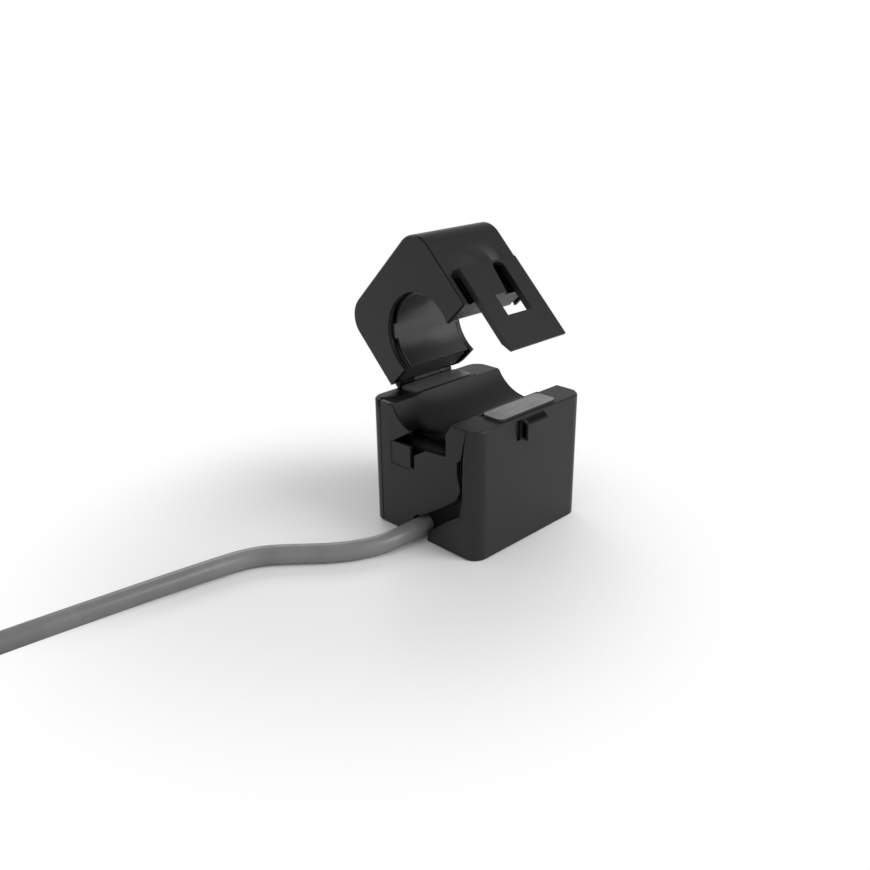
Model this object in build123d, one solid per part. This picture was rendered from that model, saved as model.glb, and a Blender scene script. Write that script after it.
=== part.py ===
from build123d import *
from math import cos, pi, radians, sin, tan
import os

# Split-core current transformer with a hinged lid, in millimetres. The frame's origin is the middle of the
# base's underside, with +Z up. X runs from the hinge (-X) to the catch (+X), and Y runs along the conductor
# window, so the lead leaves through the front wall at -Y. The lid is drawn closed and then swung open.

# Base moulding
base_width = 27.0
base_depth = 29.0
base_height = 24.5
base_corner = 2.8
base_wall = 1.2
roof = 1.2
floor_plate = 0.7
plate_fit = 0.05
plate_corner = 1.4
post_corner = 3.4
small_edge = 0.25

# Trough that forms the lower half of the conductor window
trough_half_width = 7.45
trough_depth = 4.35
trough_wall = 1.0
trough_set_back = 0.4
trough_notch_set_back = 2.6
rim_height = 0.3
rim_overlap = 0.6
rim_ramp = 1.6

# Front cover, let into the front wall
cover_thickness = 0.9
cover_left_margin = 3.1
cover_right_margin = 2.45
cover_fit = 0.08
cover_arc_half_width = 7.8
cover_arc_depth = 4.5
cover_step_top = 4.5
groove_depth = 1.6
groove_width_at_top = 0.2
groove_foot = 2.0
groove_top_margin, groove_top_drop = 3.15, 5.9
front_wall = 2.3
finger_set_back = 0.15

# Edges of the front cover and its groove: how far in from the base's right side, with the height above the
# foot for the lower points and the drop from the base's top for the higher ones
cover_low_edge = [(7.5, 8.75), (4.75, 10.9)]
cover_high_edge = [(3.8, 11.5), (4.55, 8.8), (4.55, 6.4), (3.65, 5.6)]
groove_edge = [(7.5, 5.5), (4.0, 7.9), (3.3, 11.3)]

# Notch in the front cover, with drops from the base's top
notch_left, notch_step, notch_slot, notch_peak, notch_right = -7.4, -2.87, -1.7, 1.3, 6.35
notch_drops = [4.2, 7.0, 11.0, 8.3, 6.5, 6.1]
finger_left, finger_drop = -7.9, 11.5
opening_foot_drop, opening_step_drop = 11.9, 5.1
opening_overlap = 0.1

# Magnetic core: two U-shaped halves with ground pole faces
pole_inner = 8.15
pole_side_wall = 0.8
pole_end_room = 7.0
pole_corner = 1.1
pole_fit = 0.05
pole_stand = 0.4
pole_air_gap = 0.03
yoke_height = 4.6
core_outer_corner = 4.0
leg_root = 0.3

# Bobbin, winding and board
tube_fit = 0.15
tube_wall = 0.8
flange = 0.9
flange_margin = 0.65
flange_corner = 1.5
winding_build = 2.2
winding_corner = 1.6
tape = 0.2
bobbin_foot = 1.6
bobbin_foot_set_in = 1.0
coil_end_gap = 0.02
tape_end_gap = 0.3
tape_fit = 0.01
board_thickness = 0.8
board_stand = 0.4
board_margin = 0.6
board_front_reach = 0.9
board_back_room = 1.7
board_pad = 1.4
board_corner = 0.8
resistor_half_length, resistor_half_width, resistor_height, resistor_y = 3.15, 1.6, 0.6, 0.5
diode_half_length, diode_half_width, diode_height, diode_y = 2.5, 1.3, 1.1, 5.0
chip_cap, chip_cap_step = 0.7, 0.1
pin_radius = 0.3
pin_fit = 0.05
pin_tail = 0.3
pin_length = 2.6
core_pad_half_depth = 4.5
core_pad_room = 1.35
pad_squeeze = 0.05

# Lid moulding
lid_side_step = 0.2
lid_end_room = 0.7
lid_height = 17.0
lid_corner = 4.5
lid_side_wall = 0.5
lid_end_wall = 1.0
lid_top_wall = 1.0
parting_gap = 0.1
lid_chamfer_length = 1.85
lid_chamfer_height = 0.3
window_rise = 2.5
window_reveal = 0.6
liner_step = 0.05
liner_wall = 0.65
liner_foot_gap = 0.1
tab_from, tab_to = 128.0, 150.0
tab_height = 1.2
spring_leaf = 0.2
spring_room = 0.5
spring_half_length = 4.5
spring_half_width = 3.0

# Latch: a sprung tongue on the lid and a hollow nub on the base
tongue_gap = 0.2
tongue_thickness = 1.3
tongue_side_room = 2.15
tongue_shoulder_rise = 6.7
tongue_ledge_drop = 0.6
tongue_root = 1.6
tongue_reach = 10.7
lead_in_height = 2.1
lead_in_tip = 0.5
swell_from, swell_to = -4.4, 0.4
swell_fade = 2.0
swell_rise = 12.0
swell_root = 1.4
catch_window_half_width = 3.15
catch_window_drop = 0.4
catch_window_height = 4.1
relief_left = 0.45
relief_left_foot = -0.3
relief_rise = 5.7
relief_corner = 1.0
side_slot_width = 0.9
side_slot_depth = 0.3
nub_half_width = 2.85
nub_drop = 0.3
nub_height = 3.9
nub_ramp = 1.0
nub_stand = 1.35
nub_shell = 0.5
nub_slot_width = 1.1
nub_slot_gap = 0.35
nub_slot_depth = 0.6
nub_slot_drop = 0.2

# Hinge along the -X top edge
hinge_stand_off = 0.4
hinge_rise = 0.5
hinge_pin_radius = 0.5
hinge_running_fit = 0.04
ear_fit = 0.02
knuckle_radius = 1.0
knuckle_clearance = 0.1
lid_knuckle_half_width = 3.4
ear_width = 3.0
web_height = 4.0
ear_web_drop = 0.1
lid_web_rise = 0.5
pin_head_radius = 0.8
pin_head = 0.45
head_gap = 0.03
lid_open_angle = 45.0

# Lead: two stranded cores in one round jacket
cable_radius = 1.75
cable_x = -0.5
cable_z = 2.5
cable_slot_fit = 0.2
cable_slot_top = 4.65
cable_inner_end = -9.6
core_radius = 0.55
core_spacing = 0.8
core_inner_length = 3.6
clamp_gap = 0.1
clamp_length = 1.8
clamp_side = 1.3
clamp_top = 5.1
clamp_grip = 0.02
clamp_corner = 1.2

# Lead's route from the jacket's end inside the base to the put-away coil, chosen by hand
cable_route = [
    (cable_x, cable_inner_end, cable_z),
    (-0.55, -17.2, 2.35),
    (-1.2, -23.2, 1.8),
    (-4.4, -29.9, 1.75),
    (-9.7, -35.6, 1.75),
    (-14.2, -40.8, 1.75),
    (-16.0, -48.6, 1.75),
    (-21.7, -96.0, 1.75),
    (-22.2, -120.5, 1.75),
]
cable_length = 1000.0

# Coil of the put-away length, with its tie and the bared cores at its end
coil_radius = 19.25
coil_width = 10.5
coil_height = 14.0
coil_edge = 2.0
coil_entry_angle = 178.6
coil_entry_gap = 0.1
coil_entry_side = 0.7
tie_angle = 100.0
tie_width = 3.0
tie_thickness = 0.6
end_slope_run = 24.0
end_flat_run = 5.0
end_bend = 8.0
end_core_length = 9.0
tip_length = 5.0
tip_radius = 0.4

# Sizes worked out from those above
half_width, half_depth = base_width / 2, base_depth / 2
front, back = -half_depth, half_depth
pole_outer = half_width - pole_side_wall
pole_half_depth = half_depth - pole_end_room
rim_half_length = pole_half_depth + rim_overlap
pole_top = base_height + pole_stand
roof_under = base_height - roof
trough_radius = (trough_half_width**2 + trough_depth**2) / (2 * trough_depth)
trough_centre = base_height - trough_depth + trough_radius
trough_under = base_height - trough_depth - trough_wall
cover_arc_radius = (cover_arc_half_width**2 + cover_arc_depth**2) / (2 * cover_arc_depth)
cover_arc_centre = base_height - cover_arc_depth + cover_arc_radius
cover_back = front + cover_thickness
cover_left, cover_right = half_width - cover_left_margin, half_width - cover_right_margin
wall_inside = front + front_wall
cable_slot_radius = cable_radius + cable_slot_fit
slot_left, slot_right = cable_x - cable_slot_radius, cable_x + cable_slot_radius
lid_bottom = base_height + parting_gap
lid_top = base_height + lid_height
lid_half_width = half_width - lid_side_step
lid_half_depth = pole_half_depth + lid_end_room + lid_end_wall
liner_radius = trough_half_width - liner_step
window_radius = liner_radius + window_reveal
window_centre = base_height + window_rise
hinge_x, hinge_z = -half_width - hinge_stand_off, base_height + hinge_rise
tongue_inner = half_width + tongue_gap
tongue_outer = tongue_inner + tongue_thickness
tongue_half_width = lid_half_depth - tongue_side_room
tongue_shoulder = base_height + tongue_shoulder_rise
tongue_ledge = tongue_shoulder - tongue_ledge_drop
tongue_tip = base_height - tongue_reach
nub_top = base_height - nub_drop
nub_bottom = nub_top - nub_height
catch_window_top = base_height - catch_window_drop
catch_window_bottom = catch_window_top - catch_window_height
board_bottom = floor_plate + board_stand
board_top = board_bottom + board_thickness
tube_half_depth = pole_half_depth + tube_fit + tube_wall
flange_top = trough_under - core_pad_room
tube_top = flange_top - flange_margin - winding_build
yoke_top = tube_top - tube_wall - tube_fit
yoke_bottom = yoke_top - yoke_height
tube_bottom = yoke_bottom - tube_fit - tube_wall
winding_half_depth = tube_half_depth + winding_build
flange_outer = pole_inner - tube_fit
flange_inner = flange_outer - flange
flange_half_depth = winding_half_depth + flange_margin
flange_bottom = tube_bottom - winding_build - flange_margin
board_half_width = flange_outer + board_margin
board_front, board_back = -pole_half_depth - board_front_reach, back - base_wall - board_back_room
bobbin_foot_spread = pole_half_depth - bobbin_foot_set_in
upper_pole_end = pole_top + pole_air_gap
upper_yoke_top = lid_top - lid_top_wall - spring_room
outer_turn = coil_radius + coil_width / 2 - cable_radius
coil_x = cable_route[-1][0] - outer_turn * cos(radians(coil_entry_angle))
coil_y = cable_route[-1][1] - outer_turn * sin(radians(coil_entry_angle))
clear = 60.0


def block(x, y, z):
    """A box between two values on each axis."""
    size = [b - a for a, b in (x, y, z)]
    middle = [(a + b) / 2 for a, b in (x, y, z)]
    return Pos(*middle) * Box(*size)


def rounded_block(x, y, z, radius):
    """A box whose four upright edges are rounded."""
    return fillet(block(x, y, z).edges().filter_by(Axis.Z), radius)


def along_y(sketch, y):
    """A sketch drawn in X and Z, carried from y[0] to y[1]."""
    return extrude(Plane.XZ.offset(-y[0]) * sketch, -(y[1] - y[0]))


def rectangle(x, z):
    """A rectangle in a sketch, between two values each way."""
    return Pos((x[0] + x[1]) / 2, (z[0] + z[1]) / 2) * Rectangle(x[1] - x[0], z[1] - z[0])


def disc(x, z, radius):
    """A circle in a sketch."""
    return Pos(x, z) * Circle(radius)


def polygon(*points):
    """A closed outline in a sketch."""
    return make_face(Polyline(*points, close=True))


def ogee(start, end):
    """An S-shaped line in a sketch that starts and ends along the sketch's Y."""
    middle = tuple((a + b) / 2 for a, b in zip(start, end))
    first = TangentArc(start, middle, tangent=(0, end[1] - start[1]))
    return first + TangentArc(middle, end, tangent=first % 1)


def rod(start, end, radius):
    """A straight round rod between two points."""
    path = Line(start, end)
    return extrude(Plane(origin=start, z_dir=path % 0) * Circle(radius), path.length)


def mirrored(side, low, high):
    """A range of X on one side of the middle, where side is -1 or 1."""
    return tuple(sorted((side * low, side * high)))


def swung_open(shape):
    """A lid piece, drawn closed, at the lid's open angle."""
    return shape.rotate(Axis((hinge_x, 0, hinge_z), (0, -1, 0)), lid_open_angle)


# Base body


def outer_block():
    """The base's outside, with rounded corners and a small bevel round its top and foot."""
    outside = rounded_block((-half_width, half_width), (front, back), (0, base_height), base_corner)
    rims = outside.faces().sort_by(Axis.Z)[0].edges() + outside.faces().sort_by(Axis.Z)[-1].edges()
    return chamfer(rims, small_edge)


def cavity():
    """Room for the core, winding and board, with the base plate's seat below it."""
    x = (-half_width + base_wall, half_width - base_wall)
    y = (wall_inside, back - base_wall)
    room = rounded_block(x, y, (floor_plate, roof_under), post_corner)
    return room + rounded_block(x, y, (-1, floor_plate), plate_corner)


def cable_slot():
    """Outline of the slot for the lead, open at the bottom of the front wall."""
    arch_centre = cable_slot_top - cable_slot_radius
    return rectangle((slot_left, slot_right), (-1, arch_centre)) + disc(cable_x, arch_centre, cable_slot_radius)


def cover_outline(fit=0.0):
    """Outline of the front cover: stepped on its right, and rising beside the lead at its foot."""
    right_edge = [(half_width - inwards + fit, height - fit) for inwards, height in cover_low_edge]
    right_edge += [(half_width - inwards + fit, base_height - drop) for inwards, drop in cover_high_edge]
    return polygon(
        (-cover_left - fit, -fit),
        (cable_x, -fit),
        (cable_x, cover_step_top - fit),
        *right_edge,
        (cover_right + fit, base_height + fit),
        (-cover_left - fit, base_height + fit),
    )


def groove_outline():
    """Outline of the recess round the front cover, which shows as a groove on the cover's right."""
    return polygon(
        (-cover_left, -1),
        (slot_right, -1),
        (slot_right, groove_foot),
        *[(half_width - inwards, height) for inwards, height in groove_edge],
        (half_width - groove_top_margin, base_height - groove_top_drop),
        (cover_right + groove_width_at_top, base_height + 1),
        (-cover_left, base_height + 1),
    )


def notch_outline():
    """Openings in the front cover below its arc: the peaked notch, the slot beside the finger and the
    three-sided gap above the finger."""
    step, finger, slot, low, high, side = [base_height - drop for drop in notch_drops]
    return polygon(
        (notch_left, finger),
        (notch_step, finger),
        (notch_step, slot),
        (notch_slot, slot),
        (notch_slot, low),
        (notch_peak, high),
        (notch_right, side),
        (notch_right, base_height + 1),
        (notch_step, base_height + 1),
        (notch_step, step),
    )


def wall_opening():
    """Outline of the hole through the front wall behind the notch."""
    step = base_height - opening_step_drop
    low = rectangle((notch_left, notch_right), (base_height - opening_foot_drop, step))
    return low + rectangle((notch_step, notch_right), (step - opening_overlap, base_height + 1))


def trough_band():
    """The trough's wall under its floor, thinner where the front cover's arc lies below it."""
    floor = disc(0, trough_centre, trough_radius)
    below_top = rectangle((-clear, clear), (0, base_height))
    wall = (disc(0, trough_centre, trough_radius + trough_wall) - floor) & below_top
    lip_radius = cover_arc_radius - cover_fit
    lip = (disc(0, cover_arc_centre, lip_radius) - floor) & below_top
    band = along_y(wall, (cover_back, back - base_wall / 2))
    band += along_y(lip, (front + trough_set_back, cover_back))
    return band - along_y(wall_opening(), (front - 1, front + trough_notch_set_back))


def trough_space():
    """The conductor's space above the trough's floor."""
    return along_y(disc(0, trough_centre, trough_radius), (front - 1, back + 1))


def rim(side):
    """Low rim between the trough and one pole, with its front end ramped down."""
    x = mirrored(side, trough_half_width - 1, pole_inner - pole_fit)
    strip = block(x, (-rim_half_length, rim_half_length), (base_height - roof / 2, base_height + rim_height))
    ramp = Plane.YZ.offset(x[0] - 1) * polygon(
        (-rim_half_length, base_height),
        (-rim_half_length + rim_ramp, base_height + rim_height),
        (-rim_half_length, base_height + rim_height),
    )
    return strip - extrude(ramp, x[1] - x[0] + 2)


def pole_window(side):
    """Upright opening round one leg of the lower core."""
    x = mirrored(side, pole_inner - pole_fit, pole_outer + pole_fit)
    half = pole_half_depth + pole_fit
    return rounded_block(x, (-half, half), (floor_plate, pole_top + 1), pole_corner)


def catch_nub():
    """Hollow nub that holds the latch tongue, with a ramp above and a flat face below."""
    top = nub_top
    shape = Plane.XZ * polygon(
        (half_width - base_wall / 2, nub_bottom),
        (half_width + nub_stand, nub_bottom),
        (half_width + nub_stand, top - nub_ramp),
        (half_width, top),
        (half_width - base_wall / 2, top),
    )
    nub = extrude(shape, nub_half_width, both=True)
    hollow = Plane.XZ * polygon(
        (half_width, nub_bottom + nub_shell),
        (half_width + nub_stand - nub_shell, nub_bottom + nub_shell),
        (half_width + nub_stand - nub_shell, top - nub_ramp),
        (half_width, top - nub_shell),
    )
    return nub - Pos(0, -nub_shell, 0) * extrude(hollow, nub_half_width, both=True)


def nub_slot():
    """Shallow slot in the wall beside the nub's open end."""
    end = -nub_half_width - nub_slot_gap
    x = (half_width - nub_slot_depth, half_width + 1)
    return block(x, (end - nub_slot_width, end), (nub_bottom, nub_top - nub_slot_drop))


def hinge_profile(wall_x, far_z, near_z):
    """Knuckle outline with a web that runs tangentially to the wall."""
    ring = disc(hinge_x, hinge_z, knuckle_radius)
    wall_line = Line((wall_x, near_z), (wall_x, far_z))
    return make_hull(ring.edges() + wall_line.edges())


def hinge_ears():
    """The base's two hinge ears, one each side of the lid's knuckle."""
    profile = hinge_profile(-half_width + base_wall / 2, hinge_z - web_height, base_height - ear_web_drop)
    inner = lid_knuckle_half_width + knuckle_clearance
    ear = along_y(profile, (inner, inner + ear_width))
    return ear + mirror(ear, Plane.XZ)


def hinge_bore(fit):
    """The hinge pin's hole, drawn right through."""
    return rod((hinge_x, -half_depth, hinge_z), (hinge_x, half_depth, hinge_z), hinge_pin_radius + fit)


def base_housing():
    """Base moulding with its windows, trough, rims, cover recess, hinge ears and nub."""
    seat = along_y(cover_outline(cover_fit), (front - 1, cover_back))
    groove = along_y(groove_outline() - cover_outline(cover_fit), (front - 1, front + groove_depth))
    scallop = along_y(
        disc(hinge_x, hinge_z, knuckle_radius + knuckle_clearance),
        (-lid_knuckle_half_width - knuckle_clearance, lid_knuckle_half_width + knuckle_clearance),
    )
    housing = outer_block() - cavity() - seat - groove
    housing -= along_y(wall_opening(), (front - 1, wall_inside + 1))
    housing -= along_y(cable_slot(), (front - 1, wall_inside + 1))
    housing += trough_band()
    housing -= trough_space()
    housing += rim(-1) + rim(1) - trough_space()
    housing -= pole_window(-1) + pole_window(1)
    housing = housing - scallop + hinge_ears() - hinge_bore(ear_fit)
    return housing - nub_slot() + catch_nub()


def front_cover():
    """Separate panel let into the front wall, with the notch, the finger and the lead's slot."""
    plate = along_y(cover_outline(), (front - 1, cover_back)) & outer_block()
    plate -= along_y(disc(0, cover_arc_centre, cover_arc_radius), (front - 1, back))
    plate -= along_y(notch_outline() + cable_slot(), (front - 1, back))
    z = (base_height - finger_drop, base_height - notch_drops[1])
    finger = block((finger_left, notch_step), (front - 1, front + finger_set_back), z)
    return plate - finger


def base_plate():
    """Plate pressed into the base's underside, with four pads that carry the board."""
    edge = base_wall + plate_fit
    x = (-half_width + edge, half_width - edge)
    y = (wall_inside + plate_fit, back - edge)
    plate = rounded_block(x, y, (0, floor_plate), plate_corner)
    for side in (-1, 1):
        for end in (board_front, board_back - board_pad):
            x = mirrored(side, board_half_width - board_pad, board_half_width)
            plate += block(x, (end, end + board_pad), (floor_plate, board_bottom))
    return plate


def u_core(yoke_near, yoke_far, pole_end):
    """U-shaped core half, from the back of its yoke to its pole faces."""
    depth = (-pole_half_depth, pole_half_depth)
    width = (-pole_outer, pole_outer)
    yoke = rectangle(width, sorted((yoke_far, yoke_near)))
    far_corners = [v for v in yoke.vertices() if abs(v.Y - yoke_far) < yoke_height / 2]
    yoke = along_y(fillet(far_corners, core_outer_corner), depth)
    yoke &= rounded_block(width, depth, sorted((yoke_far, yoke_near)), pole_corner)
    legs = []
    for side in (-1, 1):
        x = mirrored(side, pole_inner, pole_outer)
        inside_yoke = yoke_near - leg_root if pole_end > yoke_near else yoke_near + leg_root
        legs.append(rounded_block(x, depth, sorted((inside_yoke, pole_end)), pole_corner))
    return yoke + legs


def lower_core():
    """Lower half of the core, on the base."""
    return u_core(yoke_top, yoke_bottom, pole_top)


def flange_plate(side):
    """One end flange of the bobbin, with the two feet that stand on the board."""
    x = mirrored(side, flange_inner, flange_outer)
    plate = block(x, (-flange_half_depth, flange_half_depth), (flange_bottom, flange_top))
    plate = fillet(plate.edges().filter_by(Axis.X), flange_corner)
    foot = (board_top, flange_bottom + flange_margin)
    for y in (-bobbin_foot_spread, bobbin_foot_spread):
        plate += block(x, (y - bobbin_foot / 2, y + bobbin_foot / 2), foot)
    return plate


def bobbin():
    """Bobbin on the lower core's yoke, standing on the board."""
    x = (-flange_outer, flange_outer)
    tube = block(x, (-tube_half_depth, tube_half_depth), (tube_bottom, tube_top))
    body = tube + flange_plate(-1) + flange_plate(1)
    half = pole_half_depth + tube_fit
    body -= block((-clear, clear), (-half, half), (yoke_bottom - tube_fit, yoke_top + tube_fit))
    for side in (-1, 1):
        body -= pin_at(side, pin_radius + pin_fit, pin_fit)
    return body


def wound_block(build, length):
    """Rounded block round the bobbin's tube, built out from it."""
    half = tube_half_depth + build
    shape = block((-length, length), (-half, half), (tube_bottom - build, tube_top + build))
    return fillet(shape.edges().filter_by(Axis.X), winding_corner)


def secondary_winding():
    """Copper winding on the bobbin, as one rounded body."""
    tube = block((-clear, clear), (-tube_half_depth, tube_half_depth), (tube_bottom, tube_top))
    return wound_block(winding_build, flange_inner - coil_end_gap) - tube


def winding_tape():
    """Layer of tape round the winding."""
    wrapped = wound_block(winding_build + tape_fit, clear)
    return wound_block(winding_build + tape, flange_inner - tape_end_gap) - wrapped


def pin_at(side, radius, extra):
    """Terminal pin through one front foot of the bobbin and the board."""
    x = side * (flange_inner + flange / 2)
    low = board_bottom - pin_tail
    return rod((x, -bobbin_foot_spread, low), (x, -bobbin_foot_spread, low + pin_length + extra), radius)


def terminal_pins():
    """The winding's two pins."""
    return Compound(children=[pin_at(side, pin_radius, 0) for side in (-1, 1)])


def chip(half_length, half_width, height, y):
    """Flat chip component on the board, with a metal cap at each end."""
    wide = (y - half_width, y + half_width)
    narrow = (wide[0] + chip_cap_step, wide[1] - chip_cap_step)
    body = block((-half_length, half_length), narrow, (board_top, board_top + height - chip_cap_step))
    for side in (-1, 1):
        body += block(mirrored(side, half_length - chip_cap, half_length), wide, (board_top, board_top + height))
    return body


def burden_resistor():
    """Resistor across the winding."""
    return chip(resistor_half_length, resistor_half_width, resistor_height, resistor_y)


def protection_diode():
    """Diode that limits the winding's voltage."""
    return chip(diode_half_length, diode_half_width, diode_height, diode_y)


def circuit_board():
    """Board with the two pins' holes."""
    x = (-board_half_width, board_half_width)
    board = rounded_block(x, (board_front, board_back), (board_bottom, board_top), board_corner)
    for side in (-1, 1):
        board -= pin_at(side, pin_radius + pin_fit, pin_length)
    return board


def core_pad():
    """Foam pad that holds the bobbin down under the trough."""
    top = trough_under - pad_squeeze
    return block((-flange_outer, flange_outer), (-core_pad_half_depth, core_pad_half_depth), (flange_top, top))


def cable_clamp():
    """Saddle behind the front wall that grips the lead's jacket."""
    half = cable_radius + clamp_side
    start = wall_inside + clamp_gap
    saddle = block((cable_x - half, cable_x + half), (start, start + clamp_length), (floor_plate, clamp_top))
    saddle = fillet(saddle.edges().filter_by(Axis.Y).group_by(Axis.Z)[-1], clamp_corner)
    bore = rectangle((cable_x - cable_radius - clamp_grip, cable_x + cable_radius + clamp_grip), (0, cable_z))
    bore += disc(cable_x, cable_z, cable_radius + clamp_grip)
    return saddle - along_y(bore, (front, 0))


def inner_wire(side):
    """End of one of the lead's cores inside the base."""
    x = cable_x + side * core_spacing
    return rod((x, cable_inner_end, cable_z), (x, cable_inner_end + core_inner_length, cable_z), core_radius)


def hinge_pin():
    """Pin through the ears and the knuckle, headed at both ends."""
    inner = lid_knuckle_half_width + knuckle_clearance + ear_width + head_gap
    end = inner + pin_head
    pin = rod((hinge_x, -end, hinge_z), (hinge_x, end, hinge_z), hinge_pin_radius)
    for side in (-1, 1):
        head = rod((hinge_x, side * inner, hinge_z), (hinge_x, side * end, hinge_z), pin_head_radius)
        outer_rim = head.faces().sort_by(Axis.Y)[0 if side < 0 else -1].edges()
        pin += chamfer(outer_rim, pin_head / 2)
    return pin


# Lid body, drawn closed


def lid_outline(inset_side=0.0, inset_top=0.0):
    """The lid's arched outline, or its inside for given wall thicknesses."""
    half = lid_half_width - inset_side
    low = lid_bottom - (clear if inset_side else 0)
    shape = rectangle((-half, half), (low, lid_top - inset_top))
    top_corners = [v for v in shape.vertices() if v.Y > window_centre]
    return fillet(top_corners, lid_corner - inset_side)


def lid_side_slots():
    """Shallow slots in the catch wall beside the latch tongue."""
    x = (lid_half_width - side_slot_depth, lid_half_width + 1)
    arch = tongue_ledge - side_slot_width / 2
    slots = []
    for side in (-1, 1):
        y = tuple(sorted((side * tongue_half_width, side * (tongue_half_width + side_slot_width))))
        slots.append(block(x, y, (lid_bottom - 1, arch)))
        middle = side * (tongue_half_width + side_slot_width / 2)
        slots.append(rod((x[0], middle, arch), (x[1], middle, arch), side_slot_width / 2))
    return slots[0] + slots[1:]


def lid_housing():
    """Lid moulding with its window, hinge knuckle and shallow slots."""
    lid = along_y(lid_outline(), (-lid_half_depth, lid_half_depth))
    end_rims = lid.faces().sort_by(Axis.Y)[0].edges() + lid.faces().sort_by(Axis.Y)[-1].edges()
    lid = chamfer(end_rims, small_edge)
    inside = lid_half_depth - lid_end_wall
    lid -= along_y(lid_outline(lid_side_wall, lid_top_wall), (-inside, inside))
    lid -= along_y(disc(0, window_centre, window_radius), (-half_depth, half_depth))
    hinge_edge = polygon(
        (-lid_half_width - 1, lid_bottom - 1),
        (-lid_half_width + lid_chamfer_length, lid_bottom),
        (-lid_half_width, lid_bottom + lid_chamfer_height),
        (-lid_half_width - 1, lid_bottom + lid_chamfer_height),
    )
    lid -= along_y(hinge_edge, (-half_depth, half_depth))
    lid -= lid_side_slots()
    web = hinge_profile(-lid_half_width + lid_side_wall / 2, hinge_z + web_height, lid_bottom + lid_web_rise)
    lid += along_y(web, (-lid_knuckle_half_width, lid_knuckle_half_width))
    inner = lid_knuckle_half_width
    outer = inner + ear_width + head_gap + pin_head + 3 * knuckle_clearance
    scallop = along_y(disc(hinge_x, hinge_z, knuckle_radius + knuckle_clearance), (inner, outer))
    lid -= scallop + mirror(scallop, Plane.XZ)
    return lid - hinge_bore(hinge_running_fit)


def lid_liner():
    """Arched liner of the conductor window, held off the end walls by four tabs."""
    foot = pole_top + liner_foot_gap
    outer = disc(0, window_centre, liner_radius + liner_wall)
    inner = disc(0, window_centre, liner_radius)
    skirt = rectangle((-liner_radius - liner_wall, liner_radius + liner_wall), (foot, window_centre))
    gap = rectangle((-liner_radius, liner_radius), (0, window_centre))
    above_foot = rectangle((-clear, clear), (foot, lid_top))
    liner = along_y((outer + skirt - inner - gap) & above_foot, (-pole_half_depth, pole_half_depth))
    inside = lid_half_depth - lid_end_wall
    band = disc(0, window_centre, liner_radius + tab_height) - disc(0, window_centre, liner_radius)
    far = [(clear * cos(radians(a)), window_centre + clear * sin(radians(a))) for a in (tab_from, tab_to)]
    wedge = polygon((0, window_centre), *far)
    tab = along_y(band & wedge, (-inside, inside))
    return liner + tab + mirror(tab, Plane.YZ)


def upper_core():
    """Upper half of the core, in the lid."""
    return u_core(upper_yoke_top - yoke_height, upper_yoke_top, upper_pole_end)


def core_spring():
    """Bowed leaf between the upper core's yoke and the lid's roof."""
    low, high = upper_yoke_top, lid_top - lid_top_wall
    rise = high - low - spring_leaf
    radius = (spring_half_length**2 + rise**2) / (2 * rise)
    centre = high - spring_leaf - radius
    arc = disc(0, centre, radius + spring_leaf) - disc(0, centre, radius)
    leaf = arc & rectangle((-spring_half_length, spring_half_length), (low, high))
    return along_y(leaf, (-spring_half_width, spring_half_width))


def tongue_swell():
    """Smooth swell that runs the lid's wall into the tongue's face and dies away towards the front."""
    low = tongue_ledge - swell_root
    slope = ogee((lid_half_width, base_height + swell_rise), (tongue_outer, low))
    behind = Polyline((tongue_outer, low), (lid_half_width, low), (lid_half_width, base_height + swell_rise))
    rise = along_y(make_face(slope + behind), (swell_from, swell_to))
    fade = ogee((lid_half_width, swell_from), (tongue_outer, swell_from + swell_fade))
    far = Polyline(fade @ 1, (tongue_outer, swell_to), (lid_half_width, swell_to), fade @ 0)
    return rise & Pos(0, 0, low) * extrude(make_face(fade + far), base_height)


def latch_tongue():
    """Sprung tongue down the catch side, with the nub's window and a relief slot above it."""
    root_foot = tongue_shoulder - tongue_root
    strip = polygon(
        (lid_half_width, tongue_shoulder),
        (tongue_outer, tongue_ledge),
        (tongue_outer, tongue_tip),
        (tongue_outer - lead_in_tip, tongue_tip),
        (tongue_inner, tongue_tip + lead_in_height),
        (tongue_inner, root_foot),
        (lid_half_width, root_foot),
    )
    tongue = along_y(strip, (-tongue_half_width, tongue_half_width))
    tongue += tongue_swell()
    half, relief_top = catch_window_half_width, base_height + relief_rise
    relief = Plane.YZ * polygon(
        (-half, catch_window_bottom),
        (half, catch_window_bottom),
        (half, relief_top),
        (relief_left, relief_top),
        (relief_left_foot, catch_window_top),
        (-half, catch_window_top),
    )
    cut = Pos(lid_half_width, 0, 0) * extrude(relief, tongue_outer)
    ends = cut.edges().filter_by(Axis.X).group_by(Axis.Z)[-1]
    return tongue - fillet(ends, relief_corner)


# Lead


def route_corner_radii(points):
    """Arc at each corner of a route: as large as its two runs allow."""
    radii = []
    for before, corner, after in zip(points, points[1:], points[2:]):
        run_in = Vector(*corner) - Vector(*before)
        run_out = Vector(*after) - Vector(*corner)
        turn = radians(run_in.get_angle(run_out))
        radii.append(0.45 * min(run_in.length, run_out.length) / tan(turn / 2))
    return radii


def signal_cable():
    """The lead from the board to its coil."""
    radii = route_corner_radii(cable_route)
    path = FilletPolyline(*cable_route, radius=radii)
    tube = sweep(Plane(origin=path @ 0, z_dir=path % 0) * Circle(cable_radius), path=path)
    share = tube.volume / (pi * cable_radius**2 * path.length)
    print("lead's corner radii", [round(r, 1) for r in radii])
    print("lead's laid length", round(path.length, 1), "tube's volume share", round(share, 4))
    coiled = cable_length - path.length - end_slope_run - end_flat_run
    print("length in the coil", round(coiled, 1), "turns", round(coiled / (2 * pi * coil_radius), 2))
    return tube


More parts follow.
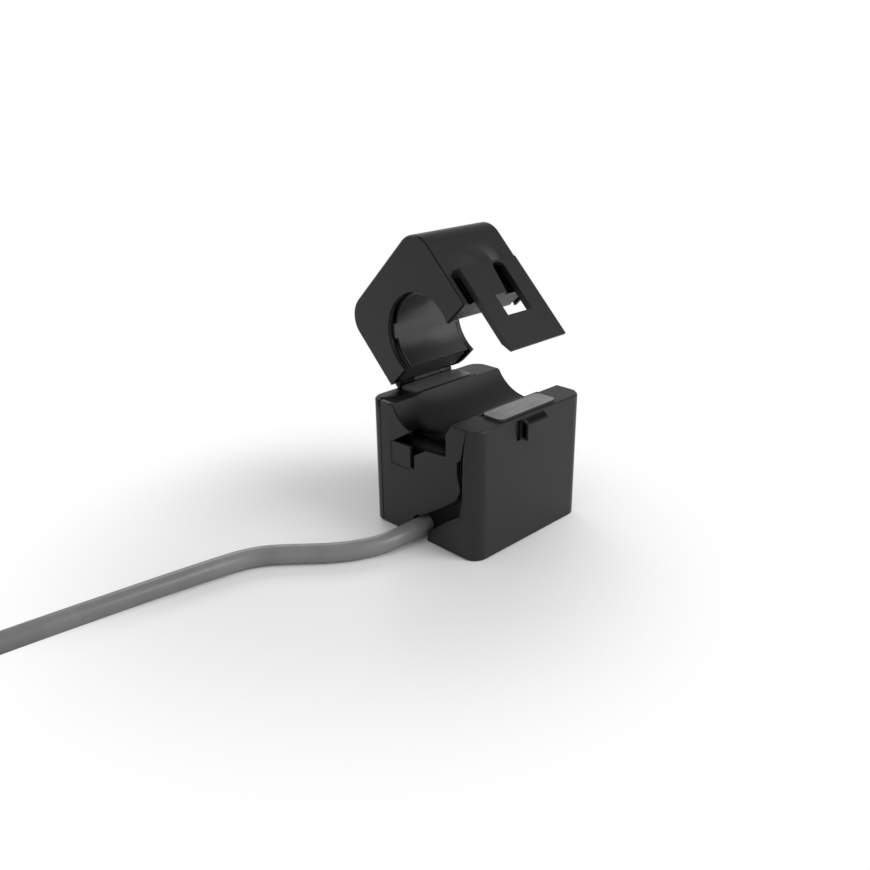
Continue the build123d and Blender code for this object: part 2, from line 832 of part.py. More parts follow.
def ring(inset=0.0):
    """The wound coil's outer shape, or that shape drawn in all over."""
    section = Rectangle(coil_width - 2 * inset, coil_height - 2 * inset)
    section = chamfer([v for v in section.vertices() if v.X > 0], coil_edge - inset / 2)
    place = Plane(origin=(coil_x + coil_radius, coil_y, coil_height / 2), x_dir=(1, 0, 0), z_dir=(0, -1, 0))
    return revolve(place * section, Axis((coil_x, coil_y, 0), (0, 0, 1)), 360)


def tie_place():
    """A slice of the coil as wide as its tie."""
    reach = coil_radius + coil_width
    middle = Pos(reach / 2, 0, 0) * Box(reach, tie_width, clear)
    return Pos(coil_x, coil_y, 0) * Rot(0, 0, tie_angle) * middle


def end_point(along, side, z):
    """A point on the coil's free end, which leaves the outer turn in line with the lead's way in."""
    angle = radians(coil_entry_angle)
    radius = outer_turn + side
    x = coil_x + radius * cos(angle) - along * sin(angle)
    y = coil_y + radius * sin(angle) + along * cos(angle)
    return (x, y, z)


def cable_coil():
    """The wound length as one ring, with the lead's free end."""
    entry_x, entry_y, entry_z = cable_route[-1]
    side = cable_radius + coil_entry_side
    way_in = (entry_y - coil_entry_gap, entry_y + clear / 2)
    coil = ring() - block((entry_x - side, entry_x + side), way_in, (-1, entry_z + side))
    coil -= tie_place() - ring(tie_thickness)
    top, floor = coil_height - cable_radius, cable_radius
    last = end_point(end_slope_run + end_flat_run, 0, floor)
    path = FilletPolyline(end_point(0, 0, top), end_point(end_slope_run, 0, floor), last, radius=end_bend)
    return coil + sweep(Plane(origin=path @ 0, z_dir=path % 0) * Circle(cable_radius), path=path)


def coil_tie():
    """Tie round the coil, flush with it."""
    return (ring() - ring(tie_thickness)) & tie_place()


def end_rod(side, start, length, radius):
    """A rod along one core of the lead's free end."""
    offset = side * core_spacing
    reach = end_slope_run + end_flat_run + start
    return rod(end_point(reach, offset, cable_radius), end_point(reach + length, offset, cable_radius), radius)


def end_wire(side):
    """One of the lead's cores at its free end."""
    return end_rod(side, 0, end_core_length, core_radius)


def tinned_tips():
    """Bare tinned tips of both cores."""
    return Compound(children=[end_rod(side, end_core_length, tip_length, tip_radius) for side in (-1, 1)])


base_pieces = {
    "base_housing": base_housing,
    "front_cover": front_cover,
    "base_plate": base_plate,
    "lower_core": lower_core,
    "bobbin": bobbin,
    "secondary_winding": secondary_winding,
    "winding_tape": winding_tape,
    "terminal_pins": terminal_pins,
    "circuit_board": circuit_board,
    "burden_resistor": burden_resistor,
    "protection_diode": protection_diode,
    "core_pad": core_pad,
    "cable_clamp": cable_clamp,
    "inner_wire_white": lambda: inner_wire(-1),
    "inner_wire_black": lambda: inner_wire(1),
    "hinge_pin": hinge_pin,
    "signal_cable": signal_cable,
    "cable_coil": cable_coil,
    "coil_tie": coil_tie,
    "end_wire_white": lambda: end_wire(-1),
    "end_wire_black": lambda: end_wire(1),
    "tinned_tips": tinned_tips,
}
lid_pieces = {
    "lid_housing": lid_housing,
    "lid_liner": lid_liner,
    "upper_core": upper_core,
    "core_spring": core_spring,
    "latch_tongue": latch_tongue,
}

os.makedirs("parts", exist_ok=True)
for name, make in base_pieces.items():
    export_step(make(), f"parts/{name}.step")
for name, make in lid_pieces.items():
    export_step(swung_open(make()), f"parts/{name}.step")
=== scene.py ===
from math import cos, pi, radians, sin

import bmesh
import bpy
from mathutils import Matrix, Vector


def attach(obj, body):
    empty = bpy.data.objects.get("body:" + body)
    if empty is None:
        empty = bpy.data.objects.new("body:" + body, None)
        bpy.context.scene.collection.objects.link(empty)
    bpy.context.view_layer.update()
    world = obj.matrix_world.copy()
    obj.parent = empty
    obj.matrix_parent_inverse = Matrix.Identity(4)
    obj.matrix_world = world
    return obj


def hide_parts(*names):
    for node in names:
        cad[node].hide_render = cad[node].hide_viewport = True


# A split-core current transformer: a black moulded block whose hinged lid stands open over two
# ground core poles, with a grey lead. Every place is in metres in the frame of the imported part, and
# MM turns what is written in millimetres into metres.

MM = 0.001
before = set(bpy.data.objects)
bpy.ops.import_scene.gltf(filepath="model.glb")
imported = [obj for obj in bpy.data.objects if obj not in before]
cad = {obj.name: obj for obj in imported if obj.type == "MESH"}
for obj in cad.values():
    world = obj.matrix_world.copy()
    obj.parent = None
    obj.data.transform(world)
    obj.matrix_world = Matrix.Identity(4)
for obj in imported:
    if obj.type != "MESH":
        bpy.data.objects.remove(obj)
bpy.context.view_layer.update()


def added(name, data):
    """A new object in the scene, at the origin."""
    made = bpy.data.objects.new(name, data)
    bpy.context.scene.collection.objects.link(made)
    return made


# Camera, fitted to the corners of the block in the photograph

PHOTO_SIZE = 870
SENSOR_WIDTH = 36.0
FOCAL_PIXELS = 896.139
CAMERA_AZIMUTH = radians(45.73)
CAMERA_ELEVATION = radians(22.342)
CAMERA_ROLL = radians(-0.801)
CAMERA_DISTANCE = 176.7 * MM
CAMERA_TARGET = Vector((-11.096, 0.0, 13.246)) * MM
CAMERA_NEAR, CAMERA_FAR = 0.01, 20.0


def photo_camera():
    """The camera of the photograph."""
    level = cos(CAMERA_ELEVATION)
    back = Vector((sin(CAMERA_AZIMUTH), -cos(CAMERA_AZIMUTH), 0.0)) * level
    back.z = sin(CAMERA_ELEVATION)
    right = Vector((cos(CAMERA_AZIMUTH), sin(CAMERA_AZIMUTH), 0.0))
    up = back.cross(right)
    turn, lean = cos(CAMERA_ROLL), sin(CAMERA_ROLL)
    right, up = turn * right + lean * up, turn * up - lean * right
    stand = CAMERA_TARGET + back * CAMERA_DISTANCE
    lens = bpy.data.cameras.new("photo_camera")
    lens.sensor_width = SENSOR_WIDTH
    lens.lens = FOCAL_PIXELS * SENSOR_WIDTH / PHOTO_SIZE
    lens.clip_start = CAMERA_NEAR
    lens.clip_end = CAMERA_FAR
    camera = added("photo_camera", lens)
    camera.matrix_world = Matrix(
        (
            (right.x, up.x, back.x, stand.x),
            (right.y, up.y, back.y, stand.y),
            (right.z, up.z, back.z, stand.z),
            (0.0, 0.0, 0.0, 1.0),
        )
    )
    bpy.context.scene.camera = camera


# Node helpers, used by every finish


def place(tree, kind, settings=None, **inputs):
    """A new node of that kind. An input takes a value, or the socket that feeds it."""
    node = tree.nodes.new(kind)
    for name, value in (settings or {}).items():
        setattr(node, name, value)
    for name, value in inputs.items():
        feed(tree, node.inputs[name.replace("_", " ")], value)
    return node


def feed(tree, socket, value):
    """Sets a socket to a value, or links the socket that feeds it."""
    if isinstance(value, bpy.types.NodeSocket):
        tree.links.new(value, socket)
    else:
        socket.default_value = value


def maths(tree, operation, first, second=0.5, third=0.0):
    """The result of a Math node."""
    node = tree.nodes.new("ShaderNodeMath")
    node.operation = operation
    for socket, value in zip(node.inputs, (first, second, third)):
        feed(tree, socket, value)
    return node.outputs[0]


def mixed(tree, share, first, second, blend="MIX"):
    """The result of mixing two colours."""
    node = tree.nodes.new("ShaderNodeMix")
    node.data_type = "RGBA"
    node.blend_type = blend
    feed(tree, node.inputs[0], share)
    feed(tree, node.inputs[6], first)
    feed(tree, node.inputs[7], second)
    return node.outputs[2]


def between(tree, value, low, high, to_low=0.0, to_high=1.0):
    """A value moved smoothly from one range to another."""
    node = tree.nodes.new("ShaderNodeMapRange")
    node.interpolation_type = "SMOOTHSTEP"
    for name, number in (
        ("From Min", low),
        ("From Max", high),
        ("To Min", to_low),
        ("To Max", to_high),
    ):
        feed(tree, node.inputs[name], number)
    feed(tree, node.inputs["Value"], value)
    return node.outputs["Result"]


def noise(tree, scale, detail=3.0, stretch=None):
    """Noise on the piece's own coordinates, with features of one metre divided by scale."""
    spot = spot_on_piece(tree)
    if stretch:
        spot = place(tree, "ShaderNodeMapping", Vector=spot, Scale=stretch).outputs[0]
    return place(tree, "ShaderNodeTexNoise", Vector=spot, Scale=scale, Detail=detail).outputs[0]


def effect(name, inputs, outputs):
    """An empty shader group with named inputs and outputs."""
    group = bpy.data.node_groups.new(name, "ShaderNodeTree")
    for label, kind, value in inputs:
        socket = group.interface.new_socket(label, in_out="INPUT", socket_type=kind)
        socket.default_value = value
    for label, kind in outputs:
        group.interface.new_socket(label, in_out="OUTPUT", socket_type=kind)
    given = group.nodes.new("NodeGroupInput").outputs
    made = group.nodes.new("NodeGroupOutput").inputs
    return group, given, made


def vectors(tree, operation, first, second=None):
    """The outputs of a Vector Math node."""
    node = tree.nodes.new("ShaderNodeVectorMath")
    node.operation = operation
    feed(tree, node.inputs[0], first)
    if second is not None:
        feed(tree, node.inputs[1], second)
    return node.outputs


def spot_on_piece(tree):
    """The spot's place in the piece's own coordinates, which are those of the part."""
    return tree.nodes.new("ShaderNodeTexCoord").outputs["Object"]


# Effects that several finishes share

COLOUR, NUMBER, DIRECTION = "NodeSocketColor", "NodeSocketFloat", "NodeSocketVector"
BLACK = (0.0, 0.0, 0.0, 1.0)
FLOW_SCALE, FLOW_STRETCH = 70.0, (1.0, 1.0, 0.45)
GRAIN_ROUGHNESS, FLOW_ROUGHNESS = 0.12, 0.1
STRAIGHT, TURNED = 0.999, 0.9
SHUT, OPEN = 0.05, 0.45


def moulded_skin():
    """Fine texture of a moulded surface, with the slow changes in tone that flow leaves."""
    group, given, made = effect(
        "moulded_skin",
        [
            ("Colour", COLOUR, BLACK),
            ("Roughness", NUMBER, 0.5),
            ("Grain Scale", NUMBER, 4000.0),
            ("Tone Change", NUMBER, 0.2),
        ],
        [("Colour", COLOUR), ("Roughness", NUMBER), ("Height", NUMBER)],
    )
    grain = noise(group, given["Grain Scale"], 2.0)
    flow = noise(group, FLOW_SCALE, 2.0, FLOW_STRETCH)
    slow = maths(group, "SUBTRACT", flow, 0.5)
    tone = maths(group, "MULTIPLY_ADD", slow, given["Tone Change"], 1.0)
    shade = place(group, "ShaderNodeCombineColor", Red=tone, Green=tone, Blue=tone).outputs[0]
    group.links.new(mixed(group, 1.0, given["Colour"], shade, "MULTIPLY"), made["Colour"])
    fine = maths(group, "SUBTRACT", grain, 0.5)
    rough = maths(group, "MULTIPLY_ADD", fine, GRAIN_ROUGHNESS, given["Roughness"])
    group.links.new(maths(group, "MULTIPLY_ADD", slow, FLOW_ROUGHNESS, rough), made["Roughness"])
    group.links.new(grain, made["Height"])
    return group


def soft_edges():
    """Where the surface turns a corner: a rounded normal, and a mask for the polish of handling and
    for a painted highlight in a lighter colour.
    """
    group, given, made = effect(
        "soft_edges",
        [("Radius", NUMBER, 0.0002), ("Strength", NUMBER, 1.0)],
        [("Edge", NUMBER), ("Normal", DIRECTION)],
    )
    rounded = place(group, "ShaderNodeBevel", {"samples": 4}, Radius=given["Radius"]).outputs[0]
    flat = group.nodes.new("ShaderNodeNewGeometry").outputs["Normal"]
    same = vectors(group, "DOT_PRODUCT", rounded, flat)["Value"]
    turned = between(group, same, STRAIGHT, TURNED)
    group.links.new(maths(group, "MULTIPLY", turned, given["Strength"]), made["Edge"])
    group.links.new(rounded, made["Normal"])
    return group


def fine_lines():
    """Straight scratches that grinding, brushing or drawing leaves, along one axis of the piece."""
    group, given, made = effect(
        "fine_lines",
        [("Scale", NUMBER, 6000.0), ("Stretch", DIRECTION, (1.0, 0.03, 1.0))],
        [("Lines", NUMBER)],
    )
    long = vectors(group, "MULTIPLY", spot_on_piece(group), given["Stretch"])[0]
    lines = place(group, "ShaderNodeTexNoise", Vector=long, Scale=given["Scale"], Detail=3.0)
    group.links.new(lines.outputs[0], made["Lines"])
    return group


def recess_shade():
    """How open a spot is: 1 on an open face, and little down a groove, a slot or a gap."""
    group, given, made = effect(
        "recess_shade",
        [("Reach", NUMBER, 0.005), ("Darkest", NUMBER, 0.2)],
        [("Open", NUMBER)],
    )
    around = place(group, "ShaderNodeAmbientOcclusion", {"samples": 8}, Distance=given["Reach"])
    light = between(group, around.outputs["AO"], SHUT, OPEN, given["Darkest"], 1.0)
    group.links.new(light, made["Open"])
    return group


def within_box():
    """How far a spot of the piece lies inside a box: 1 inside and 0 outside, with a soft rim."""
    group, given, made = effect(
        "within_box",
        [
            ("Middle", DIRECTION, (0.0, 0.0, 0.0)),
            ("Reach", DIRECTION, (1.0, 1.0, 1.0)),
            ("Rim", NUMBER, 0.0002),
        ],
        [("Inside", NUMBER)],
    )
    off = vectors(group, "SUBTRACT", spot_on_piece(group), given["Middle"])[0]
    outside = vectors(group, "SUBTRACT", vectors(group, "ABSOLUTE", off)[0], given["Reach"])[0]
    past = place(group, "ShaderNodeSeparateXYZ", Vector=outside).outputs
    furthest = maths(group, "MAXIMUM", maths(group, "MAXIMUM", past[0], past[1]), past[2])
    rim = maths(group, "DIVIDE", furthest, given["Rim"])
    group.links.new(between(group, rim, -0.5, 0.5, 1.0, 0.0), made["Inside"])
    return group


SKIN, EDGES, LINES = moulded_skin(), soft_edges(), fine_lines()
RECESS, BOX = recess_shade(), within_box()


def grouped(tree, group, **inputs):
    """The outputs of a shared effect, placed in a material with its own values."""
    return place(tree, "ShaderNodeGroup", {"node_tree": group}, **inputs).outputs


def blank(name):
    """A new material: its tree and its shader."""
    material = bpy.data.materials.new(name)
    material.use_nodes = True
    return material, material.node_tree, material.node_tree.nodes["Principled BSDF"]


def rgb(red, green, blue):
    """A colour."""
    return (red, green, blue, 1.0)


def grey(level):
    """A plain grey."""
    return rgb(level, level, level)


# Painted shade: places where a moulding is painted darker than its shape alone makes it, and the
# lid's seam


def dark_box(middle, reach, rim, light):
    """A box in millimetres: its middle, its reach each way, its soft rim and the light left."""
    return (Vector(middle) * MM, Vector(reach) * MM, rim * MM, light)


# Painted shade: each box below paints the moulding darker where shade falls, on the nub's top, in the
# notch, at the groove's foot, on the base beside the hinge where the lid casts its shadow, and on the
# lid behind the tongue. The lid's seam box marks a dark joint.
NUB_TOP_SHADE = dark_box((14.3, 0.2, 23.72), (0.9, 2.5, 0.3), 0.5, 0.3)
NOTCH_SIDES_SHADE = dark_box((-0.6, -12.0, 16.6), (7.4, 2.14, 3.6), 0.3, 0.05)
NOTCH_APPROACH_SHADE = dark_box((-0.6, -14.0, 18.5), (7.4, 3.2, 3.0), 3.4, 0.12)
GROOVE_FOOT_SHADE = dark_box((5.2, -13.0, 7.0), (4.9, 1.25, 7.0), 0.4, 0.4)
HINGE_SIDE_SHADOW = dark_box((-12.6, -9.0, 24.6), (2.6, 6.0, 1.6), 2.6, 0.12)
BASE_PAINTED_SHADE = [NUB_TOP_SHADE, NOTCH_SIDES_SHADE, NOTCH_APPROACH_SHADE, GROOVE_FOOT_SHADE, HINGE_SIDE_SHADOW]
BEHIND_TONGUE_SHADE = dark_box((6.6, 0.0, 43.0), (5.0, 8.1, 5.0), 0.5, 0.12)
LID_SEAM = dark_box((0.0, -9.0, 0.0), (99.0, 0.1, 99.0), 0.12, 0.4)
SEAM_DEPTH = 0.15 * MM
EDGE_POLISH = 0.12


# Finishes


def moulded(
    name,
    colour,
    roughness,
    grain=4000.0,
    depth=2e-6,
    edge_highlight_colour=None,
    specular=0.4,
    reach=5 * MM,
    darkest=0.2,
    painted_shade_boxes=(),
    seams=(),
):
    """Moulded plastic with a fine skin and slightly polished edges, which get a painted highlight.
    Painted shade takes its colour and gloss down a recess and in each shade box; each seam is a dark
    joint, darkened and also pressed into the surface."""
    material, tree, shader = blank(name)
    skin = grouped(tree, SKIN, Colour=colour, Roughness=roughness, Grain_Scale=grain)
    edge = grouped(tree, EDGES)
    openness = grouped(tree, RECESS, Reach=reach, Darkest=darkest)["Open"]
    normal = edge["Normal"]
    for box in (*painted_shade_boxes, *seams):
        middle, size, rim, light = box
        inside = grouped(tree, BOX, Middle=middle, Reach=size, Rim=rim)["Inside"]
        openness = maths(tree, "MULTIPLY", openness, between(tree, inside, 0.0, 1.0, 1.0, light))
        if box in seams:
            pressed = {"Height": inside, "Distance": SEAM_DEPTH, "Normal": normal}
            normal = place(tree, "ShaderNodeBump", {"invert": True}, **pressed).outputs[0]
    # Painted highlight: the edge mask mixes in the lighter edge colour. Painted shade: the colour
    # goes to black, and metallic black takes the gloss away, where the spot is shut in or inside a
    # box.
    tint = mixed(tree, edge["Edge"], skin["Colour"], edge_highlight_colour or colour)
    tree.links.new(mixed(tree, openness, BLACK, tint), shader.inputs["Base Color"])
    polish = maths(tree, "MULTIPLY", edge["Edge"], EDGE_POLISH)
    rough = maths(tree, "SUBTRACT", skin["Roughness"], polish)
    tree.links.new(rough, shader.inputs["Roughness"])
    tree.links.new(maths(tree, "SUBTRACT", 1.0, openness), shader.inputs["Metallic"])
    bump = place(tree, "ShaderNodeBump", Height=skin["Height"], Distance=depth, Normal=normal)
    tree.links.new(bump.outputs[0], shader.inputs["Normal"])
    shader.inputs["Specular IOR Level"].default_value = specular
    return material


def ground_core():
    """Wound strip core: pole faces ground bright, and dark laminated sides."""
    material, tree, shader = blank("ground_core")
    normal = tree.nodes.new("ShaderNodeNewGeometry").outputs["Normal"]
    facing = place(tree, "ShaderNodeSeparateXYZ", Vector=normal)
    face = between(tree, maths(tree, "ABSOLUTE", facing.outputs[2]), 0.75, 0.95)
    lines = grouped(tree, LINES, Scale=5200.0, Stretch=(1.0, 0.05, 1.0))["Lines"]
    cloud = between(tree, noise(tree, 160.0), 0.35, 0.65)
    bright = mixed(tree, cloud, rgb(0.33, 0.33, 0.332), grey(0.41))
    streak = between(tree, lines, 0.3, 0.7, 0.0, 0.35)
    streaked = mixed(tree, streak, bright, rgb(0.22, 0.22, 0.222))
    side = rgb(0.05, 0.05, 0.052)
    tree.links.new(mixed(tree, face, side, streaked), shader.inputs["Base Color"])
    tree.links.new(between(tree, face, 0.0, 1.0, 0.35, 0.8), shader.inputs["Metallic"])
    tree.links.new(between(tree, lines, 0.25, 0.75, 0.36, 0.5), shader.inputs["Roughness"])
    bump = place(tree, "ShaderNodeBump", Height=lines, Distance=4e-6)
    tree.links.new(bump.outputs[0], shader.inputs["Normal"])
    return material


def worked_metal(name, colour, roughness, stretch, dull):
    """Drawn, rolled or tinned metal with fine lines along it and dull patches."""
    material, tree, shader = blank(name)
    lines = grouped(tree, LINES, Scale=7000.0, Stretch=stretch)["Lines"]
    patch = between(tree, noise(tree, 900.0), 0.4, 0.7)
    tree.links.new(mixed(tree, patch, colour, dull), shader.inputs["Base Color"])
    rough = between(tree, lines, 0.3, 0.7, roughness, roughness + 0.15)
    tree.links.new(rough, shader.inputs["Roughness"])
    bump = place(tree, "ShaderNodeBump", Height=lines, Distance=2e-6)
    tree.links.new(bump.outputs[0], shader.inputs["Normal"])
    shader.inputs["Metallic"].default_value = 1.0
    return material


def plain_surface(name, light, dark, scale, roughness, depth=2e-6, coat=0.0):
    """A surface whose tone changes in fine clouds between two colours, as on foam or tape."""
    material, tree, shader = blank(name)
    cloud = noise(tree, scale, 4.0)
    tint = mixed(tree, between(tree, cloud, 0.35, 0.65), light, dark)
    tree.links.new(tint, shader.inputs["Base Color"])
    rough = between(tree, cloud, 0.3, 0.7, roughness, roughness + 0.12)
    tree.links.new(rough, shader.inputs["Roughness"])
    bump = place(tree, "ShaderNodeBump", Height=cloud, Distance=depth)
    tree.links.new(bump.outputs[0], shader.inputs["Normal"])
    shader.inputs["Coat Weight"].default_value = coat
    return material


def copper_turns():
    """Enamelled copper wire wound side by side on the bobbin, with painted shade between the turns
    and a painted highlight on each turn.
    """
    material, tree, shader = blank("copper_turns")
    wave = {"Vector": spot_on_piece(tree), "Scale": 1500.0, "Distortion": 0.6, "Detail": 1.0}
    wire = place(tree, "ShaderNodeTexWave", {"bands_direction": "X"}, **wave).outputs[1]
    # Painted shade and highlight: each turn is painted dark at its sides and bright on its crown.
    colour = mixed(tree, wire, rgb(0.22, 0.06, 0.02), rgb(0.62, 0.24, 0.1))
    tree.links.new(colour, shader.inputs["Base Color"])
    bump = place(tree, "ShaderNodeBump", Height=wire, Distance=6e-5)
    tree.links.new(bump.outputs[0], shader.inputs["Normal"])
    shader.inputs["Metallic"].default_value = 0.8
    shader.inputs["Roughness"].default_value = 0.35
    return material


def jacket():
    """Grey soft vinyl jacket: satin, with a fine grain and slightly darker handled patches."""
    material, tree, shader = blank("grey_jacket")
    cloud = noise(tree, 140.0, 3.0)
    grain = noise(tree, 3000.0, 3.0)
    colour = mixed(tree, between(tree, cloud, 0.35, 0.65), grey(0.15), grey(0.18))
    tree.links.new(colour, shader.inputs["Base Color"])
    tree.links.new(between(tree, grain, 0.3, 0.7, 0.3, 0.42), shader.inputs["Roughness"])
    bump = place(tree, "ShaderNodeBump", Height=grain, Distance=5e-6)
    tree.links.new(bump.outputs[0], shader.inputs["Normal"])
    return material


# The edge colour is a painted highlight: edges are painted lighter than the housing.
HOUSING, EDGE_HIGHLIGHT = rgb(0.0105, 0.0105, 0.0108), grey(0.018)
COVER, LINER = rgb(0.0105, 0.0105, 0.011), rgb(0.014, 0.014, 0.0142)
TIN, DULL_TIN = rgb(0.62, 0.62, 0.6), rgb(0.42, 0.42, 0.4)
SPRING, DULL_SPRING = rgb(0.42, 0.42, 0.43), rgb(0.3, 0.3, 0.31)
ALONG_Y, ALONG_Z = (1.0, 0.04, 1.0), (1.0, 1.0, 0.04)


def mouldings():
    """The moulded finishes, each with what sets it apart."""
    # Each edge colour is a painted highlight, lighter than the moulding's own colour.
    black = {"colour": HOUSING, "roughness": 0.38, "edge_highlight_colour": EDGE_HIGHLIGHT}
    cover = {"edge_highlight_colour": grey(0.011), "specular": 0.35, "darkest": 0.8}
    liner = {"grain": 100.0, "depth": 0.0, "specular": 0.9, "reach": 1.5 * MM}
    kinds = {
        "housing_black": black,
        "base_black": {**black, "specular": 0.34, "painted_shade_boxes": BASE_PAINTED_SHADE},
        "lid_black": {**black, "painted_shade_boxes": [BEHIND_TONGUE_SHADE], "seams": [LID_SEAM]},
        "cover_black": {"colour": COVER, "roughness": 0.42, **cover},
        "liner_black": {"colour": LINER, "roughness": 0.3, **liner},
        "bobbin_nylon": {"colour": grey(0.004), "roughness": 0.6, "specular": 0.1},
        "tie_black": {"colour": grey(0.016), "roughness": 0.36, "edge_highlight_colour": grey(0.03)},
    }
    return {name: moulded(name, **kind) for name, kind in kinds.items()}


def clouded():
    """The finishes of tape, resist, small parts, foam and wire. Each row has the two tones, the
    scale of the clouds and the roughness, and some have the depth of the texture and a gloss."""
    kinds = {
        "black_tape": (grey(0.004), grey(0.006), 900.0, 0.6),
        "board_green": (rgb(0.02, 0.12, 0.05), rgb(0.03, 0.16, 0.07), 500.0, 0.32, 2e-6, 0.3),
        "resistor_body": (rgb(0.12, 0.28, 0.42), rgb(0.1, 0.23, 0.36), 800.0, 0.4),
        "diode_body": (grey(0.03), rgb(0.05, 0.045, 0.04), 800.0, 0.35),
        "foam_pad": (grey(0.006), grey(0.003), 2600.0, 0.85, 6e-5),
        "wire_white": (rgb(0.7, 0.7, 0.68), rgb(0.6, 0.6, 0.58), 900.0, 0.38),
        "wire_black": (grey(0.02), grey(0.03), 900.0, 0.38),
    }
    return {name: plain_surface(name, *kind) for name, kind in kinds.items()}


def metals():
    """The finishes of worked metal. Each row has the tone, the roughness, the way the lines run and
    the dull tone."""
    kinds = {
        "tinned_metal": (TIN, 0.28, ALONG_Y, DULL_TIN),
        "pin_steel": (grey(0.02), 0.4, ALONG_Y, grey(0.03)),
        "spring_steel": (SPRING, 0.25, ALONG_Z, DULL_SPRING),
    }
    return {name: worked_metal(name, *kind) for name, kind in kinds.items()}


def finishes():
    """Every finish by its name, which for most is that of the slot that it stands for."""
    made = {**mouldings(), **clouded(), **metals()}
    made["core_metal"] = ground_core()
    made["copper_winding"] = copper_turns()
    made["jacket_grey"] = jacket()
    return made


FINISH = finishes()


# Lead: the route from the gland to the put-away coil, the coil's turns and the free end

LEAD_DIAMETER = 3.5 * MM

# The route, the coil and the free end are in millimetres, as the part has them
LEAD_ROUTE = [
    (-0.5, -9.6, 2.5),
    (-0.55, -17.2, 2.35),
    (-1.2, -23.2, 1.8),
    (-4.4, -29.9, 1.75),
    (-9.7, -35.6, 1.75),
    (-14.2, -40.8, 1.75),
    (-16.0, -48.6, 1.75),
    (-21.7, -96.0, 1.75),
    (-22.2, -120.5, 1.75),
]
COIL_ENTRY = radians(178.6)
COIL_OUTER, COIL_INNER = 22.75, 15.75
COIL_ROWS, COIL_ROW_TURNS = 4, 1.75
COIL_ROW_RISE, COIL_FLOOR = 3.5, 1.75
COIL_CLIMB = 0.17
POINTS_PER_TURN = 16
END_SLOPE_RUN, END_FLAT_RUN = 24.0, 5.0
END_SLOPE = [(0.3, 0.12), (0.7, 0.85), (1.0, 1.0)]
LEAD_SMOOTHNESS, LEAD_SIDES = 10, 6


def coil_turns(middle):
    """Flat spirals on each other, the first one inwards and the next one back outwards, each with a
    short climb to the next at its end."""
    steps = round(COIL_ROWS * COIL_ROW_TURNS * POINTS_PER_TURN)
    points = []
    for step in range(1, steps + 1):
        turns = step / POINTS_PER_TURN
        row = min(int(turns / COIL_ROW_TURNS), COIL_ROWS - 1)
        done = turns - row * COIL_ROW_TURNS
        share = done / COIL_ROW_TURNS
        inward = share if row % 2 == 0 else 1 - share
        radius = COIL_OUTER + (COIL_INNER - COIL_OUTER) * inward
        left = COIL_ROW_TURNS - done
        climb = max(0.0, 1 - left / COIL_CLIMB) if row < COIL_ROWS - 1 else 0.0
        angle = COIL_ENTRY + 2 * pi * turns
        height = COIL_FLOOR + (row + climb) * COIL_ROW_RISE
        points.append((middle[0] + radius * cos(angle), middle[1] + radius * sin(angle), height))
    return points


def lead_points():
    """The lead's own line, from inside the gland to its free end."""
    last = LEAD_ROUTE[-1]
    across, along = COIL_OUTER * cos(COIL_ENTRY), COIL_OUTER * sin(COIL_ENTRY)
    middle = (last[0] - across, last[1] - along)
    turns = coil_turns(middle)
    top = turns[-1]
    ahead = (-sin(COIL_ENTRY), cos(COIL_ENTRY))
    end = []
    for along, fall in END_SLOPE:
        run = along * END_SLOPE_RUN
        height = top[2] + (COIL_FLOOR - top[2]) * fall
        end.append((top[0] + run * ahead[0], top[1] + run * ahead[1], height))
    run = END_SLOPE_RUN + END_FLAT_RUN
    end.append((top[0] + run * ahead[0], top[1] + run * ahead[1], COIL_FLOOR))
    return LEAD_ROUTE + turns + end


def smooth_bar(name, points, radius):
    """A round bar along the smooth line that its points, in millimetres, draw."""
    curve = bpy.data.curves.new(name, "CURVE")
    curve.dimensions = "3D"
    spline = curve.splines.new("NURBS")
    spline.points.add(len(points) - 1)
    for spot, point in zip(spline.points, points):
        spot.co = (*(value * MM for value in point), 1.0)
    spline.order_u = 3
    spline.use_endpoint_u = True
    curve.resolution_u = LEAD_SMOOTHNESS
    curve.bevel_depth = radius
    curve.bevel_resolution = LEAD_SIDES
    curve.use_fill_caps = True
    return added(name, curve)


def lead():
    """The whole grey lead, in place of the plain solids of its laid part and its coil."""
    bar = smooth_bar("signal_lead", lead_points(), LEAD_DIAMETER / 2)
    bar.data.materials.append(FINISH["jacket_grey"])
    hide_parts("signal_cable", "cable_coil")
    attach(bar, "base")


# Floor, background and lamps

FLOOR_SIZE = 6.0
FLOOR_GREY, FLOOR_ROUGHNESS, FLOOR_GLOSS = grey(0.86), 0.4, 0.15
FLOOR_MIDDLE = (-5 * MM, -22 * MM, 0.0)
FLOOR_PLAIN, FLOOR_WHITE = 24 * MM, 68 * MM
LAMP_AIM = Vector((0.0, 0.0, 0.02))

# Each lamp with its place, its width and its power
LAMPS = {
    "key": ((0.34, 0.14, 0.28), 0.24, 1.2),
    "front_fill": ((0.06, -0.46, 0.26), 0.30, 0.45),
    "back_left": ((-0.36, 0.16, 0.30), 0.22, 0.5),
    "top_soft": ((0.02, -0.02, 0.50), 0.40, 0.35),
}
HORIZON_LEVEL, OVERHEAD_LEVEL = 1.1, 0.28
OVERHEAD_FROM = 0.5


def softbox(name, spot, size, power):
    """A square lamp that looks at the block."""
    lamp = bpy.data.lights.new(name, "AREA")
    lamp.shape = "SQUARE"
    lamp.size = size
    lamp.energy = power
    box = added(name, lamp)
    box.location = spot
    box.rotation_euler = (LAMP_AIM - Vector(spot)).to_track_quat("-Z", "Y").to_euler()


def seen_directly(tree):
    """1 where the camera looks at the surround or through the object to it, and 0 in its light."""
    path = tree.nodes.new("ShaderNodeLightPath").outputs
    return maths(tree, "MAXIMUM", path["Is Camera Ray"], path["Is Transmission Ray"])


